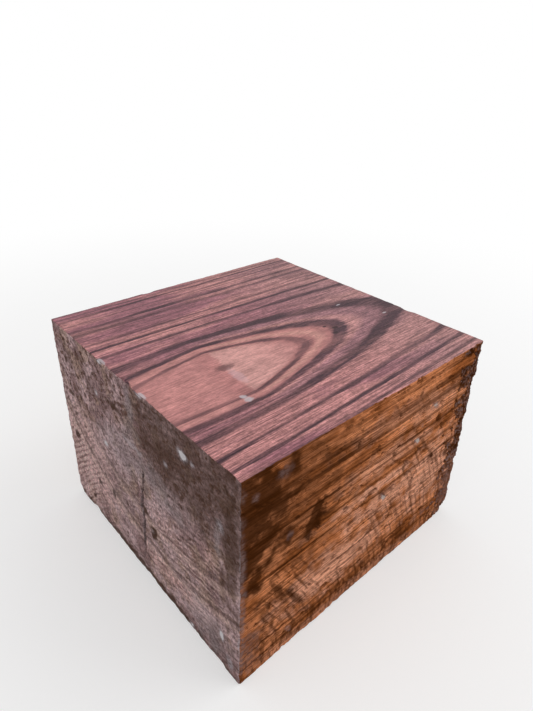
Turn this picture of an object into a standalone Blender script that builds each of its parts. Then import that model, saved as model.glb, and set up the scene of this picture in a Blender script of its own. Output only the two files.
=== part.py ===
"""Rosewood turning blank for a lathe: one solid block, nominally 4 x 4 x 3 inches.

The block is sawn out of a rough billet. Its four sides are left from the saw and run a little out of
square, its top is planed flat and its base is sawn flat. Handling has eased the arrises and broken
some corners off. The saw and the drying have left nicked and chipped arrises, tear-outs, pits and end
checks, all bitten out at real size.

Metres. X runs along the grain, Z is up, and the origin is at the middle of the base.
"""

from collections import namedtuple
from math import radians
from random import Random

import bmesh
import bpy
from mathutils import Matrix, Vector

# The block, measured at its middle.
GRAIN_LENGTH = 0.1023
WIDTH = 0.099
HEIGHT = 0.074

# How far each sawn side runs out of square, outwards: from one arris to the next, and up to the top.
NEAR_END_RUN = -0.0006
NEAR_END_LEAN = -0.0005
FAR_END_RUN = 0.0007
FAR_END_LEAN = -0.0016
FRONT_RUN = -0.0004
FRONT_LEAN = -0.0005
BACK_RUN = -0.0003
BACK_LEAN = 0.0010

# The rough billet is larger than the block by this much on every side.
SAW_ALLOWANCE = 0.006

# Radii of the eased arrises. The planer has left those of the top crisp.
TOP_ARRIS_RADIUS = 0.0003
UPRIGHT_ARRIS_RADIUS = 0.0006
BASE_ARRIS_RADIUS = 0.0007
ARRIS_SEGMENTS = 3

# Facets of one bite: around its length, and from tip to tip.
BITE_FACETS = (12, 8)
NICK_FACETS = (8, 6)

ROSEWOOD_COLOUR = (0.235, 0.105, 0.075, 1.0)
ROSEWOOD_ROUGHNESS = 0.55

# A sawn side faces outwards, and its share runs along it from 0 to 1.
Side = namedtuple("Side", "outward along size_through size_along run lean")
Plane = namedtuple("Plane", "point normal")

X_AXIS = Vector((1, 0, 0))
Y_AXIS = Vector((0, 1, 0))
Z_AXIS = Vector((0, 0, 1))

SIDES = {
    "near_end": Side(-X_AXIS, Y_AXIS, GRAIN_LENGTH, WIDTH, NEAR_END_RUN, NEAR_END_LEAN),
    "far_end": Side(X_AXIS, Y_AXIS, GRAIN_LENGTH, WIDTH, FAR_END_RUN, FAR_END_LEAN),
    "front": Side(-Y_AXIS, X_AXIS, WIDTH, GRAIN_LENGTH, FRONT_RUN, FRONT_LEAN),
    "back": Side(Y_AXIS, X_AXIS, WIDTH, GRAIN_LENGTH, BACK_RUN, BACK_LEAN),
}

# Base corners that were knocked off: the two sides that meet there, and how far the break reaches along
# the grain, across it and up.
Break = namedtuple("Break", "faces grain across up")
BREAKS = [
    Break(("far_end", "front"), 0.0044, 0.0030, 0.0048),
    Break(("far_end", "back"), 0.0036, 0.0048, 0.0040),
    Break(("near_end", "back"), 0.0028, 0.0026, 0.0036),
]

# Chipped arrises: the two faces that meet there, the share along the arris, its length and its depth.
# The share runs towards +X, +Y or +Z.
Chip = namedtuple("Chip", "faces share length depth")
CHIPS = [
    Chip(("near_end", "top"), 0.63, 0.0060, 0.0005),
    Chip(("near_end", "top"), 0.50, 0.0080, 0.0006),
    Chip(("near_end", "top"), 0.93, 0.0040, 0.0005),
    Chip(("front", "top"), 0.97, 0.0045, 0.0005),
    Chip(("near_end", "base"), 0.46, 0.0070, 0.0006),
    Chip(("near_end", "base"), 0.86, 0.0060, 0.0007),
    Chip(("front", "base"), 0.22, 0.0060, 0.0005),
    Chip(("front", "base"), 0.63, 0.0080, 0.0006),
    Chip(("near_end", "front"), 0.24, 0.0060, 0.0006),
    Chip(("near_end", "back"), 0.40, 0.0060, 0.0005),
    Chip(("far_end", "front"), 0.92, 0.0050, 0.0007),
    Chip(("far_end", "front"), 0.78, 0.0070, 0.0008),
    Chip(("far_end", "front"), 0.58, 0.0060, 0.0007),
    Chip(("far_end", "front"), 0.33, 0.0050, 0.0006),
    Chip(("far_end", "back"), 0.55, 0.0080, 0.0009),
    Chip(("far_end", "top"), 0.30, 0.0060, 0.0005),
    Chip(("far_end", "base"), 0.58, 0.0090, 0.0010),
    Chip(("back", "top"), 0.36, 0.0050, 0.0005),
    Chip(("back", "base"), 0.31, 0.0080, 0.0010),
]

# Small nicks that the saw left along each sawn arris, clear of its corners: how many, and the ranges of
# their shares along it, their lengths, their depths and their leans from one face to the other.
NICKED_ARRISES = [
    ("near_end", "front"),
    ("near_end", "back"),
    ("far_end", "front"),
    ("far_end", "back"),
    ("near_end", "base"),
    ("far_end", "base"),
    ("front", "base"),
    ("back", "base"),
]
NICKS_ON_AN_ARRIS = 11
NICK_SHARES = (0.08, 0.92)
NICK_LENGTHS = (0.0016, 0.0052)
NICK_DEPTHS = (0.00005, 0.00025)
NICK_LEANS = (-0.5, 0.5)
NICK_SEED = 7

# Tear-outs and pits of a side: the shares along it and up it, the length and width, the depth, and
# the angle by which the length is turned from upright, towards +X or +Y.
Hollow = namedtuple("Hollow", "side along up length width depth turned")
HOLLOWS = [
    Hollow("front", 0.262, 0.610, 0.0120, 0.0036, 0.0011, 24),
    Hollow("front", 0.805, 0.715, 0.0032, 0.0024, 0.0012, 50),
    Hollow("front", 0.800, 0.500, 0.0026, 0.0018, 0.0010, 70),
    Hollow("front", 0.660, 0.578, 0.0034, 0.0018, 0.0008, -65),
    Hollow("front", 0.553, 0.470, 0.0036, 0.0026, 0.0009, -35),
    Hollow("front", 0.636, 0.105, 0.0082, 0.0018, 0.0011, 42),
    Hollow("front", 0.407, 0.850, 0.0034, 0.0020, 0.0007, 10),
    Hollow("front", 0.316, 0.188, 0.0030, 0.0020, 0.0008, 60),
    Hollow("front", 0.112, 0.335, 0.0044, 0.0028, 0.0009, -20),
    Hollow("near_end", 0.425, 0.322, 0.0030, 0.0022, 0.0014, 15),
    Hollow("near_end", 0.838, 0.693, 0.0026, 0.0020, 0.0010, 30),
    Hollow("near_end", 0.925, 0.666, 0.0022, 0.0016, 0.0009, 60),
    Hollow("near_end", 0.930, 0.420, 0.0036, 0.0022, 0.0010, 60),
    Hollow("near_end", 0.680, 0.297, 0.0030, 0.0016, 0.0010, 20),
    Hollow("near_end", 0.585, 0.330, 0.0024, 0.0016, 0.0009, 60),
    Hollow("near_end", 0.852, 0.112, 0.0032, 0.0016, 0.0009, 35),
    Hollow("far_end", 0.300, 0.640, 0.0030, 0.0022, 0.0011, 20),
    Hollow("far_end", 0.710, 0.390, 0.0036, 0.0020, 0.0010, -30),
    Hollow("back", 0.240, 0.420, 0.0070, 0.0026, 0.0010, -25),
    Hollow("back", 0.680, 0.700, 0.0034, 0.0024, 0.0010, 40),
]

# End checks: drying cracks that run out from the pith, long, narrow and deep.
CHECKS = [
    Hollow("near_end", 0.453, 0.575, 0.0098, 0.0007, 0.0024, -12),
    Hollow("near_end", 0.468, 0.475, 0.0086, 0.0008, 0.0030, -9),
    Hollow("near_end", 0.475, 0.385, 0.0080, 0.0010, 0.0034, 5),
    Hollow("near_end", 0.477, 0.292, 0.0086, 0.0009, 0.0030, -6),
    Hollow("near_end", 0.482, 0.195, 0.0090, 0.0007, 0.0022, -2),
    Hollow("far_end", 0.405, 0.640, 0.0130, 0.0007, 0.0026, -9),
    Hollow("far_end", 0.396, 0.500, 0.0120, 0.0009, 0.0032, 4),
    Hollow("far_end", 0.403, 0.365, 0.0110, 0.0008, 0.0026, -7),
    Hollow("far_end", 0.800, 0.300, 0.0160, 0.0007, 0.0024, 33),
]


def clear_scene():
    for old in list(bpy.data.objects):
        bpy.data.objects.remove(old)


def collection(name):
    made = bpy.data.collections.new(name)
    bpy.context.scene.collection.children.link(made)
    return made


def side_plane(side):
    """The plane that the saw followed: out of square by the side's run and lean."""
    middle = side.outward * (side.size_through / 2) + Z_AXIS * (HEIGHT / 2)
    normal = side.outward - side.along * (side.run / side.size_along) - Z_AXIS * (side.lean / HEIGHT)
    return Plane(middle, normal.normalized())


def block_planes():
    planes = {name: side_plane(side) for name, side in SIDES.items()}
    planes["top"] = Plane(Z_AXIS * HEIGHT, Z_AXIS)
    planes["base"] = Plane(Vector((0, 0, 0)), -Z_AXIS)
    return planes


def meeting_point(planes):
    """The point where three planes meet."""
    normals = Matrix([plane.normal for plane in planes])
    distances = Vector([plane.normal.dot(plane.point) for plane in planes])
    return normals.inverted() @ distances


def arris_ends(planes, faces):
    """The two corners of the arris where two faces meet, the lower or nearer to -X or -Y first."""
    if faces[1] in SIDES:
        stops = ("base", "top")
    elif faces[0] in ("near_end", "far_end"):
        stops = ("front", "back")
    else:
        stops = ("near_end", "far_end")
    return [meeting_point([planes[faces[0]], planes[faces[1]], planes[stop]]) for stop in stops]


def side_corners(planes, name):
    """The corners of a side: base start, base end, top start, top end, along its share."""
    neighbours = ("front", "back") if name in ("near_end", "far_end") else ("near_end", "far_end")
    return [
        meeting_point([planes[name], planes[neighbour], planes[level]])
        for level in ("base", "top")
        for neighbour in neighbours
    ]


def saw(bm, plane):
    """Cuts off what lies outside the plane, and closes the cut with one flat face."""
    cut = bmesh.ops.bisect_plane(
        bm,
        geom=bm.verts[:] + bm.edges[:] + bm.faces[:],
        plane_co=plane.point,
        plane_no=plane.normal,
        clear_outer=True,
    )
    rim = [element for element in cut["geom_cut"] if isinstance(element, bmesh.types.BMEdge)]
    bmesh.ops.contextual_create(bm, geom=rim)


def break_plane(planes, broken):
    """The plane along which a base corner came off."""
    corner = meeting_point([planes[broken.faces[0]], planes[broken.faces[1]], planes["base"]])
    inwards = [-SIDES[face].outward for face in broken.faces]
    reaches = [inwards[0] * broken.grain, inwards[1] * broken.across, Z_AXIS * broken.up]
    normal = (reaches[1] - reaches[0]).cross(reaches[2] - reaches[0]).normalized()
    if normal.dot(reaches[0]) > 0:
        normal = -normal
    return Plane(corner + reaches[0], normal)


def saw_billet(planes):
    """The block with sharp arrises, sawn and planed out of a larger billet, its broken corners off."""
    bm = bmesh.new()
    bmesh.ops.create_cube(bm, size=1.0)
    spare = 2 * SAW_ALLOWANCE
    billet = Vector((GRAIN_LENGTH + spare, WIDTH + spare, HEIGHT + spare))
    bmesh.ops.scale(bm, vec=billet, verts=bm.verts)
    bmesh.ops.translate(bm, vec=Z_AXIS * (HEIGHT / 2), verts=bm.verts)
    for plane in planes.values():
        saw(bm, plane)
    for broken in BREAKS:
        saw(bm, break_plane(planes, broken))
    return bm


def arris_radius(edge):
    heights = [vertex.co.z / HEIGHT for vertex in edge.verts]
    if min(heights) > 0.5:
        return TOP_ARRIS_RADIUS
    if max(heights) < 0.5:
        return BASE_ARRIS_RADIUS
    return UPRIGHT_ARRIS_RADIUS


def ease_arrises(block, bm):
    """Rounds each arris to its own radius, by the weights of one Bevel modifier."""
    widest = max(TOP_ARRIS_RADIUS, UPRIGHT_ARRIS_RADIUS, BASE_ARRIS_RADIUS)
    weights = bm.edges.layers.float.new("bevel_weight_edge")
    for edge in bm.edges:
        edge[weights] = arris_radius(edge) / widest
    bevel = block.modifiers.new("eased arrises", "BEVEL")
    bevel.limit_method = "WEIGHT"
    bevel.width = widest
    bevel.segments = ARRIS_SEGMENTS


def bite(name, centre, along, outward, length, width, depth, folder, facets=BITE_FACETS):
    """A lens-shaped cutter, its tips along one direction, and as deep as it reaches inwards."""
    along = along.normalized()
    across = outward.cross(along).normalized()
    square_out = along.cross(across)
    turned = Matrix([across, square_out, along]).transposed().to_4x4()
    stretched = Matrix.Diagonal((width / 2, depth, length / 2, 1.0))
    bm = bmesh.new()
    bmesh.ops.create_uvsphere(
        bm,
        u_segments=facets[0],
        v_segments=facets[1],
        radius=1.0,
        matrix=Matrix.Translation(centre) @ turned @ stretched,
    )
    mesh = bpy.data.meshes.new(name)
    bm.to_mesh(mesh)
    bm.free()
    cutter = bpy.data.objects.new(name, mesh)
    cutter.hide_render = True
    cutter.display_type = "WIRE"
    folder.objects.link(cutter)


def bite_chip(planes, chip, name, folder):
    """Breaks an arris: the bite straddles it, as wide on each face as it is deep."""
    start, end = arris_ends(planes, chip.faces)
    outward = planes[chip.faces[0]].normal + planes[chip.faces[1]].normal
    eased = arris_depth(chip.faces)
    reach = eased + chip.depth
    bite(name, start.lerp(end, chip.share), end - start, outward, chip.length, 4 * reach, reach, folder)


def nick_arris(planes, faces, chance, name, folder):
    """Small bites along an arris, each in its own stretch of it, so that they stay spread out."""
    start, end = arris_ends(planes, faces)
    first, last = NICK_SHARES
    for number in range(NICKS_ON_AN_ARRIS):
        share = first + (last - first) * (number + chance.random()) / NICKS_ON_AN_ARRIS
        length = chance.uniform(*NICK_LENGTHS)
        reach = arris_depth(faces) + chance.uniform(*NICK_DEPTHS)
        lean = chance.uniform(*NICK_LEANS)
        outward = planes[faces[0]].normal * (1 + lean) + planes[faces[1]].normal * (1 - lean)
        centre = start.lerp(end, share)
        bite(
            f"{name}_{number}", centre, end - start, outward, length, 3 * reach, reach, folder, NICK_FACETS
        )


def arris_depth(faces):
    """How far below its sharp corner the rounded arris lies."""
    if "top" in faces:
        radius = TOP_ARRIS_RADIUS
    elif "base" in faces:
        radius = BASE_ARRIS_RADIUS
    else:
        radius = UPRIGHT_ARRIS_RADIUS
    return radius * (2**0.5 - 1)


def bite_hollow(planes, hollow, name, folder):
    base_start, base_end, top_start, top_end = side_corners(planes, hollow.side)
    low = base_start.lerp(base_end, hollow.along)
    high = top_start.lerp(top_end, hollow.along)
    outward = planes[hollow.side].normal
    upright = (high - low).normalized()
    sideways = (base_end - base_start).normalized()
    turn = Matrix.Rotation(radians(hollow.turned), 3, upright.cross(sideways))
    centre = low.lerp(high, hollow.up)
    bite(name, centre, turn @ upright, outward, hollow.length, hollow.width, hollow.depth, folder)


def bite_block(planes, block, folder):
    """Cuts every nick, chip, hollow and check out of the block with one Boolean."""
    chance = Random(NICK_SEED)
    for number, faces in enumerate(NICKED_ARRISES, 1):
        nick_arris(planes, faces, chance, f"nick_{number}", folder)
    for number, chip in enumerate(CHIPS, 1):
        bite_chip(planes, chip, f"chip_{number}", folder)
    for number, hollow in enumerate(HOLLOWS, 1):
        bite_hollow(planes, hollow, f"hollow_{number}", folder)
    for number, check in enumerate(CHECKS, 1):
        bite_hollow(planes, check, f"check_{number}", folder)
    boolean = block.modifiers.new("bites", "BOOLEAN")
    boolean.operation = "DIFFERENCE"
    boolean.solver = "EXACT"
    boolean.operand_type = "COLLECTION"
    boolean.collection = folder


def rosewood():
    material = bpy.data.materials.new("rosewood")
    material.use_nodes = True
    shader = material.node_tree.nodes["Principled BSDF"]
    shader.inputs["Base Color"].default_value = ROSEWOOD_COLOUR
    shader.inputs["Roughness"].default_value = ROSEWOOD_ROUGHNESS
    shader.inputs["Metallic"].default_value = 0.0
    return material


def box_middle(planes):
    """The middle of the block's box, seen from above."""
    corners = [corner for name in ("near_end", "far_end") for corner in side_corners(planes, name)]
    middle_x = (min(corner.x for corner in corners) + max(corner.x for corner in corners)) / 2
    middle_y = (min(corner.y for corner in corners) + max(corner.y for corner in corners)) / 2
    return Vector((middle_x, middle_y, 0))


def centred(planes):
    """The same planes, moved so that the block's box stands over the origin."""
    middle = box_middle(planes)
    return {name: Plane(plane.point - middle, plane.normal) for name, plane in planes.items()}


def make_blank():
    clear_scene()
    planes = centred(block_planes())
    mesh = bpy.data.meshes.new("turning_blank")
    block = bpy.data.objects.new("turning_blank", mesh)
    collection("wood turning blank").objects.link(block)
    bm = saw_billet(planes)
    ease_arrises(block, bm)
    bm.to_mesh(mesh)
    bm.free()
    mesh.materials.append(rosewood())
    mesh.shade_smooth()
    mesh.set_sharp_from_angle(angle=radians(30))
    bite_block(planes, block, collection("bites"))


make_blank()
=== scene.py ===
"""The looks of a rosewood turning blank: planed on top, rough sawn and waxed on its sides.

The block is a box with a fine grid of faces, laid onto the solid and then roughened as the saw, the
drying and the wax left it. Its colours come from one solid figure, growth rings round a pith that
runs above the top, so each face shows the cut that it really makes through them.

The object is in metres. The cuts, the marks and the materials' coordinates are in millimetres.
"""

from collections import namedtuple
from itertools import product
from math import cos, hypot, pi, radians, sin

import bmesh
import bpy
import numpy as np
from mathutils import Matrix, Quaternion, Vector, noise
from mathutils.bvhtree import BVHTree


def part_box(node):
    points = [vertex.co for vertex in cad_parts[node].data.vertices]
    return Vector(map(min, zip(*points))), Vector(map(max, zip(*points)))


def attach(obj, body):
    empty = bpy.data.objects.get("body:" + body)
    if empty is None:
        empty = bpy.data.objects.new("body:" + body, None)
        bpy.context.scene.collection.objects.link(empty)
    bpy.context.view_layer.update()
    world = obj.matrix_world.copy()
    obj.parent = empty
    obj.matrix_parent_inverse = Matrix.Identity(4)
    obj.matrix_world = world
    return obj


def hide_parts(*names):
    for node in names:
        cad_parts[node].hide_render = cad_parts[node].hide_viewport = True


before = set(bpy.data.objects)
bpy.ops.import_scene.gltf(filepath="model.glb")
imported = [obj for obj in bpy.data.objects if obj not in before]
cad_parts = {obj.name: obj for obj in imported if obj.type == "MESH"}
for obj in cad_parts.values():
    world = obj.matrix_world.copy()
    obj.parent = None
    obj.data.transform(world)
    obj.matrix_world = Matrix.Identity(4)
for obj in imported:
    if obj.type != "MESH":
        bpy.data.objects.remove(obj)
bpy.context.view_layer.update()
LOW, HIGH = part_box("turning_blank")

MM = 0.001

# The camera: where it was held, which way it looked, and its roll with the right side up.
CAMERA_PLACE = (-0.10534, -0.11422, 0.15269)
CAMERA_AZIMUTH = radians(42.731)
CAMERA_DIP = radians(29.638)
CAMERA_ROLL = radians(2.01)
CAMERA_LENS = 27.11
SENSOR = 36.0

# The grid of the block's faces, the width and the segments of its eased edges, how far outside each point
# starts on its way in to the solid, how closely a face of the solid has to face along an axis to be one
# of its flat sides, how nearly whole a length or a facing has to be to count, and how sharp an edge may
# be and still be shaded smooth.
GRID_PITCH = 0.002
EASED_EDGE = 0.001
EDGE_SEGMENTS = 2
STAND_OFF = 0.002
FLAT_ENOUGH = cos(radians(4))
NEARLY = 0.9
SMOOTH_ANGLE = radians(38)

# The floor, its grey and its glow, how far out it stays grey, and where it has turned white.
FLOOR_SIZE = 6.0
FLOOR_GAP = 0.0001
FLOOR_GREY = (0.6, 0.6, 0.6, 1)
FLOOR_ROUGHNESS = 0.9
FLOOR_SPECULAR = 0.1
FLOOR_GLOW = 0.42
GREY_REACH = 0.13
WHITE_REACH = 0.42

# The white surroundings, and one large soft lamp.
WHITE = (1, 1, 1, 1)
SKY_STRENGTH = 0.7
LAMP_POWER = 1.6
LAMP_SIZE = 0.6
LAMP_PLACE = (0.45, -0.35, 0.75)
LAMP_AIM = (0, 0, 0.04)

# The pith runs above the top, nearly along X, and the core's radius is its height above the top. At a
# fold under the knot the rings bend away from it, most near the core and most on the near side, and
# further out they only tilt. The rises are in square millimetres a millimetre.
PITH_Y = -12.0
PITH_DRIFT = 0.01
PITH_Z = 104.0
CORE_RADIUS = 30.0
FOLD_X = -25.5
FOLD_ROUNDING = 0.8
FOLD_SLANT = -0.12
BEND_RISE = 4.4
BEND_SKEW = -0.6
BEND_KINK = 0.10
BEND_REACH = 8.0
TILT_RISE = 2.0
TILT_START = 46.0
TILT_END = 64.0

# Dark growth rings, each with its distance from the pith, half its width, and how dark it is. The dark
# core takes a share of the width, and both its edges fade. Their places are read off the photo, to half
# a millimetre: how far to the side of the pith a ring crosses the top at the fold, or how high above the
# base it crosses the middle of the front.
Ring = namedtuple("Ring", "radius half_width darkness")


def ring_on_top(from_pith, half_width, darkness):
    return Ring(hypot(CORE_RADIUS, from_pith), half_width, darkness)


def ring_on_front(height, half_width, darkness):
    return Ring(hypot(PITH_Z - height, PITH_Y - LOW.y / MM), half_width, darkness)


RINGS = [
    ring_on_top(13.0, 0.30, 0.80),
    ring_on_top(16.5, 0.50, 1.00),
    ring_on_top(21.0, 0.85, 1.00),
    ring_on_top(28.0, 0.60, 0.90),
    ring_on_top(33.0, 0.60, 0.95),
    ring_on_top(37.0, 0.55, 0.75),
    ring_on_top(41.0, 0.40, 0.45),
    ring_on_top(45.0, 1.00, 0.75),
    ring_on_top(46.5, 0.60, 0.50),
    ring_on_top(48.0, 0.90, 0.95),
    ring_on_top(53.0, 0.50, 0.60),
    ring_on_top(57.0, 0.55, 0.95),
    ring_on_front(49.5, 0.45, 0.65),
    ring_on_front(46.5, 0.70, 0.35),
    ring_on_front(44.0, 0.60, 0.65),
    ring_on_front(38.0, 0.50, 1.00),
    ring_on_front(34.0, 0.50, 0.30),
    ring_on_front(29.0, 0.40, 0.55),
    ring_on_front(26.0, 0.35, 0.50),
    ring_on_front(22.0, 0.35, 0.75),
    ring_on_front(17.5, 0.40, 0.75),
    ring_on_front(11.5, 0.40, 0.85),
    ring_on_front(9.0, 0.50, 0.60),
    ring_on_front(6.0, 0.50, 0.75),
]
RINGS_IN_A_RAMP = 7
RING_CORE = 0.55

# The rings that show as arcs on the ends, by how high above the base they lie under the pith, read off
# the photo in the same way, with how strong they are, and how far below them the wood is pale. Then how
# far from its middle an arc, and the pale wood by it, has faded out, and how far it is at its full.
END_ARCS = [(29.5, 0.85), (21.0, 0.60), (18.0, 1.00)]
PALE_BESIDE_ARC = 2.5
ARC_FADE = (1.3, 0.3)
PALE_FADE = (1.5, 0.3)

# Rings of pale and of mauve wood near the core on the top: the radius, half the width, how strong, and
# the colour. They fade on the near end's side of the fold.
PALE_WOOD = (0.66, 0.330, 0.285, 1)
MAUVE_WOOD = (0.35, 0.170, 0.190, 1)
TINTED_RINGS = [
    (33.3, 0.34, 0.75, PALE_WOOD),
    (34.9, 0.45, 0.35, PALE_WOOD),
    (35.6, 0.90, 0.75, MAUVE_WOOD),
]

# The saw blade's centre on each side, along it and up it, and the spacing of the marks it left.
Saw = namedtuple("Saw", "along up coarse fine")
SAWS = {
    "near_end": Saw(-50.0, -90.0, 9.0, 1.9),
    "far_end": Saw(60.0, -80.0, 9.0, 1.9),
    "front": Saw(-150.0, -50.0, 7.5, 2.3),
    "back": Saw(140.0, -60.0, 7.5, 2.3),
}

# A side of the block: the axis that it faces along, which way, and the axis that runs along it.
Side = namedtuple("Side", "axis sign across")
SIDES = {
    "near_end": Side(0, -1, 1),
    "far_end": Side(0, 1, 1),
    "front": Side(1, -1, 0),
    "back": Side(1, 1, 0),
}

# A mark on a side: its middle along the side and above the base, its length and width, the angle by
# which the length is turned from upright towards +X or +Y, and its strength.
Mark = namedtuple("Mark", "side along up length width turned strength")
STAINS_AND_SHADE = [
    # The first two on the front darken its upper left, partly a stain and partly painted shade.
    Mark("front", -49, 62, 62, 34, 0, 0.84),
    Mark("front", -36, 60, 64, 54, 0, 0.45),
    Mark("front", -25.0, 47.5, 17, 7, 12, 0.95),
    Mark("front", -26.5, 44.5, 9, 9, 0, 1.00),
    Mark("front", -38, 27.5, 19, 3.0, -31, 0.72),
    Mark("front", -31.5, 19, 20, 3.0, -31, 0.72),
    Mark("front", -43.5, 23, 12, 2.6, -31, 0.50),
    Mark("front", -37, 22, 26, 14, -31, 0.34),
    Mark("front", 4.5, 21, 26, 1.4, -26, 0.40),
    Mark("front", 12, 26, 22, 1.4, -30, 0.35),
    Mark("front", 27, 42, 34, 1.8, -40, 0.50),
    Mark("front", 31, 36, 16, 1.8, -34, 0.40),
    Mark("front", 20, 9.5, 12, 12, 0, 0.50),
    Mark("front", 12.5, 8, 7, 2.4, 42, 0.85),
    Mark("front", -41.5, 24.5, 4.5, 2.6, -20, 0.70),
    Mark("front", -40.5, 16.5, 4.0, 3.0, 0, 0.70),
    Mark("front", -47, 12, 26, 12, 0, 0.40),
    Mark("front", -20, 13.5, 2.8, 3.2, 0, 0.75),
    Mark("front", 30.5, 52.5, 3, 6, 60, 0.65),
    Mark("front", 31, 37, 2.4, 3, 60, 0.75),
    Mark("front", 41, 33, 4, 3.4, 0, 0.60),
    Mark("front", 4.5, 35.5, 4.5, 3.4, -35, 0.70),
    Mark("front", -10, 34, 2.6, 4.0, 0, 0.60),
    Mark("front", -10.5, 63, 2.6, 2.0, 0, 0.70),
    Mark("front", 14.5, 43, 2.0, 3.0, 60, 0.60),
    Mark("front", 5, 67, 7, 2, -40, 0.30),
    Mark("front", 16.5, 67.5, 2.0, 1.8, 0, 0.55),
    # These two darken bands along the front's base.
    Mark("front", 0, 4, 10, 112, 0, 0.34),
    Mark("front", 0, 11, 6, 112, 0, 0.14),
    # This darkens the near end high up by the front, partly a stain and partly painted shade.
    Mark("near_end", -28, 62, 40, 54, 0, 0.42),
    Mark("near_end", -46, 50, 70, 8, 0, 0.60),
    Mark("near_end", -22, 48, 4, 38, 0, 0.35),
    Mark("near_end", -14, 60, 8, 22, 14, 0.55),
    Mark("near_end", 10, 61, 3, 14, 0, 0.65),
    Mark("near_end", 26, 60, 6, 5, 0, 0.45),
    Mark("near_end", 40, 64, 10, 9, 0, 0.40),
    Mark("near_end", 43.3, 30.8, 3.2, 4.4, 0, 0.90),
    Mark("near_end", 17.8, 21.1, 3.4, 2.8, 0, 1.00),
    Mark("near_end", 33.6, 51.3, 3.2, 3.0, 0, 1.00),
    Mark("near_end", 41.8, 49.2, 2.4, 3.2, 0, 0.80),
    Mark("near_end", 28.3, 18.5, 2.4, 2.4, 0, 0.80),
    Mark("near_end", 35.7, 6.9, 2.6, 2.8, 0, 0.80),
    Mark("near_end", 10.4, 8.5, 2.4, 2.4, 0, 0.70),
    Mark("near_end", 7.7, 23.8, 2.2, 3.0, 0, 0.80),
    Mark("near_end", 22.0, 26.4, 2.2, 2.2, 0, 0.70),
    Mark("near_end", -25.0, 47.6, 2.2, 2.6, 0, 0.80),
    Mark("near_end", 27.3, 12.9, 2.2, 2.4, 0, 0.70),
    Mark("near_end", 42.0, 63.0, 5.0, 4.0, 0, 0.70),
    Mark("near_end", -8.1, 23.6, 5.5, 4.0, -25, 1.00),
    Mark("near_end", -3.4, 30.3, 5.4, 5.0, 0, 1.00),
    Mark("near_end", -4.5, 43.0, 6.6, 1.3, -14, 0.80),
    Mark("near_end", -3.0, 35.7, 9.0, 1.2, -10, 0.85),
    Mark("near_end", -2.4, 28.7, 6.0, 1.5, 5, 0.90),
    Mark("near_end", -2.5, 23.0, 6.8, 1.2, -5, 0.80),
    Mark("near_end", -1.9, 16.2, 7.6, 1.1, -4, 0.75),
    Mark("near_end", -43, 37, 10, 3.5, 0, 0.55),
    Mark("near_end", -42, 8, 20, 16, 0, 0.42),
    # This darkens a band along the near end's base.
    Mark("near_end", 0, 1.5, 4, 112, 0, 0.80),
]
WAX = [
    Mark("front", -51.8, 30, 90, 3.4, 0, 0.60),
    Mark("front", -48.5, 12, 26, 7, 0, 0.30),
    Mark("front", 27, 58.8, 3.0, 3.6, 0, 0.75),
    Mark("front", 20, 48.5, 3.6, 2.0, -30, 1.00),
    Mark("front", 21, 54, 3.0, 2.4, -30, 0.60),
    Mark("front", 26.2, 59.4, 2.6, 4.4, 0, 0.90),
    Mark("front", 5.8, 33.4, 2.4, 2.6, -30, 1.00),
    Mark("front", -34, 8, 4.5, 1.4, -30, 0.70),
    Mark("front", -35.5, 47, 2.2, 2.4, 0, 0.40),
    Mark("front", -47, 67, 2.4, 2.4, 0, 0.45),
    Mark("front", -38.5, 70, 5, 4, 0, 0.35),
    Mark("front", 34, 9, 3, 4, 0, 0.40),
    Mark("front", 47, 14, 26, 9, 0, 0.36),
    Mark("near_end", -27.2, 66.4, 3.4, 4.6, 8, 1.00),
    Mark("near_end", -31.0, 66.6, 2.2, 2.4, 0, 0.85),
    Mark("near_end", 20.4, 60.2, 2.2, 2.2, 0, 1.00),
    Mark("near_end", 18.1, 42.3, 2.8, 3.8, 0, 0.90),
    Mark("near_end", 0.0, 52.6, 3.0, 14, 0, 0.60),
    Mark("near_end", 2, 46, 14, 50, 0, 0.34),
    Mark("near_end", -34, 10, 18, 22, 0, 0.34),
    Mark("near_end", -18.6, 58.2, 2.2, 2.4, 0, 0.75),
    Mark("near_end", -42.4, 13.4, 6.5, 2.2, 12, 1.00),
    Mark("near_end", -41.6, 55.0, 5.0, 2.6, 0, 0.65),
    Mark("near_end", -46, 5, 8, 3, 10, 0.70),
    Mark("near_end", -27.6, 1.6, 3.0, 3.4, 0, 1.00),
    Mark("near_end", -40.5, 50, 16, 2.4, 0, 0.35),
    Mark("near_end", -0.5, 67, 14, 5, 10, 0.40),
    Mark("near_end", 3, 55, 12, 16, 60, 0.28),
    Mark("near_end", -18, 42, 5, 22, 0, 0.30),
    Mark("near_end", 15, 73.6, 1.2, 4.5, 0, 0.95),
    Mark("near_end", -7, 73.6, 1.2, 4.0, 0, 0.90),
    Mark("near_end", 25, 25, 44, 46, 0, 0.15),
]
BLUSH = [
    Mark("front", -1, 41, 4.0, 52, 0, 0.90),
    Mark("front", 12, 33, 10, 54, 0, 0.85),
    Mark("front", -14, 20, 17, 56, 0, 0.85),
    Mark("front", 24, 22, 14, 30, 0, 0.50),
    Mark("front", 6, 50, 9, 46, 0, 0.55),
    Mark("front", 6, 64, 8, 50, 0, 0.40),
    Mark("front", 30, 30, 30, 28, 0, 0.95),
    Mark("front", 26, 60, 12, 30, 0, 0.45),
    Mark("front", -6, 2.5, 5, 100, 0, 0.45),
    Mark("near_end", 34, 23, 44, 38, 0, 0.85),
    Mark("near_end", -21, 13, 7, 34, 0, 0.75),
    Mark("near_end", -37, 40, 6, 7, 0, 0.60),
    Mark("near_end", -18, 31, 10, 26, 0, 0.35),
]
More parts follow.
